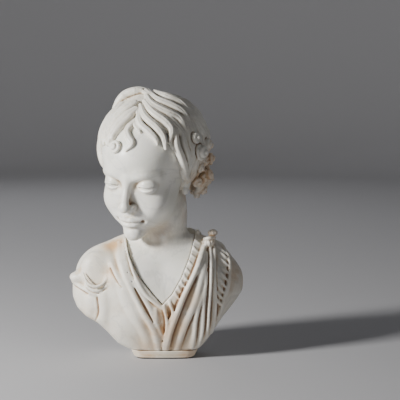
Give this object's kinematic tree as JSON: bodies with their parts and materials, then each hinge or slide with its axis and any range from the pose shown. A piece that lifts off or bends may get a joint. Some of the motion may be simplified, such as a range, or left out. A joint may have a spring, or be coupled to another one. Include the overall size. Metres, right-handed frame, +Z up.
{
  "type": "marble bust",
  "caption": "Life-size marble bust of a curly-haired youth with lowered head, in a pleated tunic and a knotted cloak, on a low oblong plinth.",
  "frame": {"origin": "middle of the underside of the felt, on the surface that the bust stands on", "axes": "+Z up, -Y towards the front of the bust, +X towards the sitter's left"},
  "size_m": [0.2619, 0.1745, 0.4024],
  "materials": {
    "flesh_marble": "satin",
    "draped_marble": "satin",
    "plinth_marble": "satin",
    "mortar": "matte",
    "iron": "matte",
    "lead": "matte",
    "felt": "matte"
  },
  "bodies": {
    "root": {"head_and_neck": "flesh_marble", "draped_bust": "draped_marble", "plinth": "plinth_marble", "socket_mortar": "mortar", "plinth_mortar": "mortar", "neck_dowel": "iron", "plinth_dowel": "iron", "neck_dowel_lead": "lead", "plinth_dowel_lead": "lead", "base_felt": "felt"}
  },
  "joints": []
}
